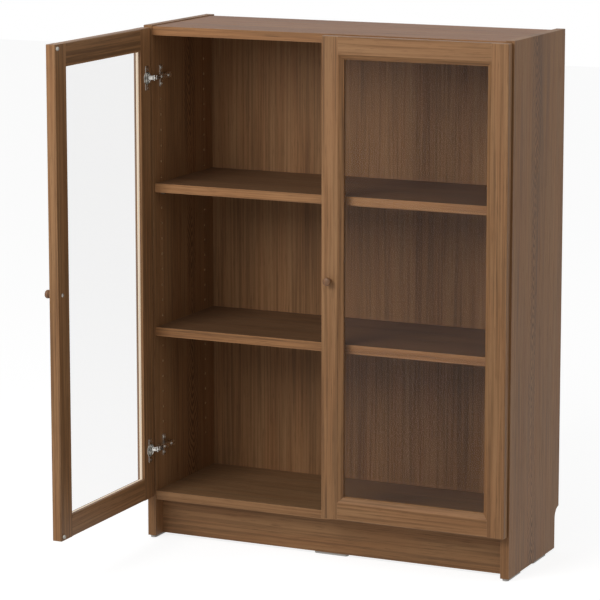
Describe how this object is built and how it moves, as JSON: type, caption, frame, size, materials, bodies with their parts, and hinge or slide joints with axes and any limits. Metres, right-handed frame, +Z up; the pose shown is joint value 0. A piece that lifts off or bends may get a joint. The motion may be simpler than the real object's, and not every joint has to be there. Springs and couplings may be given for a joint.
{
  "type": "bookcase with glass doors",
  "caption": "Low bookcase: wood-effect carcass on a recessed plinth, fixed and adjustable shelves, framed glass doors on concealed hinges with small turned knobs.",
  "frame": {"origin": "middle of the carcass footprint on the floor, level with the underside of the glides", "axes": "+Z up, -Y to the front where the doors are, +X to the right seen from the front"},
  "size_m": [0.8147, 0.6791, 1.065],
  "materials": {
    "side_board": "walnut-effect foil, satin",
    "flat_board": "walnut-effect foil, satin",
    "back_board": "printed hardboard, satin",
    "frame_wood": "walnut-effect foil, satin",
    "knob_wood": "turned and stained, satin",
    "beech_dowel": "plain beech",
    "clear_glass": "clear float glass",
    "nickel_steel": "nickel plated",
    "nail_steel": "bright steel",
    "glide_plastic": "greyish white, matt",
    "bumper_plastic": "white, matt"
  },
  "bodies": {
    "carcass": {"adjustable_shelf": "flat_board", "adjusting_screws": "nickel_steel", "back_nails": "nail_steel", "back_panel": "back_board", "bottom_board": "flat_board", "cam_bolts": "nickel_steel", "cam_locks": "nickel_steel", "carcass_dowels": "beech_dowel", "fixed_shelf": "flat_board", "left_lower_hinge_arm": "nickel_steel", "left_lower_mounting_plate": "nickel_steel", "left_side_panel": "side_board", "left_upper_hinge_arm": "nickel_steel", "left_upper_mounting_plate": "nickel_steel", "plate_screws": "nickel_steel", "plinth_board": "flat_board", "plinth_glide": "glide_plastic", "right_lower_hinge_arm": "nickel_steel", "right_lower_mounting_plate": "nickel_steel", "right_side_panel": "side_board", "right_upper_hinge_arm": "nickel_steel", "right_upper_mounting_plate": "nickel_steel", "shelf_pins": "nickel_steel", "side_glides": "glide_plastic", "top_board": "flat_board"},
    "left_long_links": {"left_long_links": "nickel_steel"},
    "left_short_links": {"left_short_links": "nickel_steel"},
    "left_door": {"left_bottom_rail": "frame_wood", "left_bumpers": "bumper_plastic", "left_cup_screws": "nickel_steel", "left_door_glass": "clear_glass", "left_frame_dowels": "beech_dowel", "left_hinge_stile": "frame_wood", "left_knob": "knob_wood", "left_knob_screw": "nickel_steel", "left_knob_stile": "frame_wood", "left_lower_hinge_cup": "nickel_steel", "left_top_rail": "frame_wood", "left_upper_hinge_cup": "nickel_steel"},
    "right_long_links": {"right_long_links": "nickel_steel"},
    "right_short_links": {"right_short_links": "nickel_steel"},
    "right_door": {"right_bottom_rail": "frame_wood", "right_bumpers": "bumper_plastic", "right_cup_screws": "nickel_steel", "right_door_glass": "clear_glass", "right_frame_dowels": "beech_dowel", "right_hinge_stile": "frame_wood", "right_knob": "knob_wood", "right_knob_screw": "nickel_steel", "right_knob_stile": "frame_wood", "right_lower_hinge_cup": "nickel_steel", "right_top_rail": "frame_wood", "right_upper_hinge_cup": "nickel_steel"}
  },
  "joints": [
    {"name": "left_long_link_turn", "type": "hinge", "parent": "carcass", "child": "left_long_links", "pos_m": [-0.37179, -0.14003, 0.576], "axis": [0, 0, -1], "range_deg": [-3.67, 44.59]},
    {"name": "left_door_swing", "type": "hinge", "parent": "left_long_links", "child": "left_door", "pos_m": [-0.38247, -0.15422, 0.576], "axis": [0, 0, -1], "range_deg": [-132.59, 6.67]},
    {"name": "left_short_link_turn", "type": "hinge", "parent": "left_door", "child": "left_short_links", "pos_m": [-0.38567, -0.15646, 0.576], "axis": [0, 0, -1], "range_deg": [-10.64, 136.09]},
    {"name": "right_long_link_turn", "type": "hinge", "parent": "carcass", "child": "right_long_links", "pos_m": [0.37179, -0.14003, 0.576], "axis": [0, 0, 1], "range_deg": [-46.75, 1.5]},
    {"name": "right_door_swing", "type": "hinge", "parent": "right_long_links", "child": "right_door", "pos_m": [0.38928, -0.1431, 0.576], "axis": [0, 0, 1], "range_deg": [0, 139.25]},
    {"name": "right_short_link_turn", "type": "hinge", "parent": "right_door", "child": "right_short_links", "pos_m": [0.38707, -0.14632, 0.576], "axis": [0, 0, 1], "range_deg": [-142.74, 4]}
  ],
  "couplings": [
    {"joint": "left_long_link_turn", "follows": "left_door_swing", "ratio": -0.32496},
    {"joint": "left_short_link_turn", "follows": "left_door_swing", "ratio": -0.99629},
    {"joint": "right_long_link_turn", "follows": "right_door_swing", "ratio": -0.32496},
    {"joint": "right_short_link_turn", "follows": "right_door_swing", "ratio": -0.99629}
  ]
}
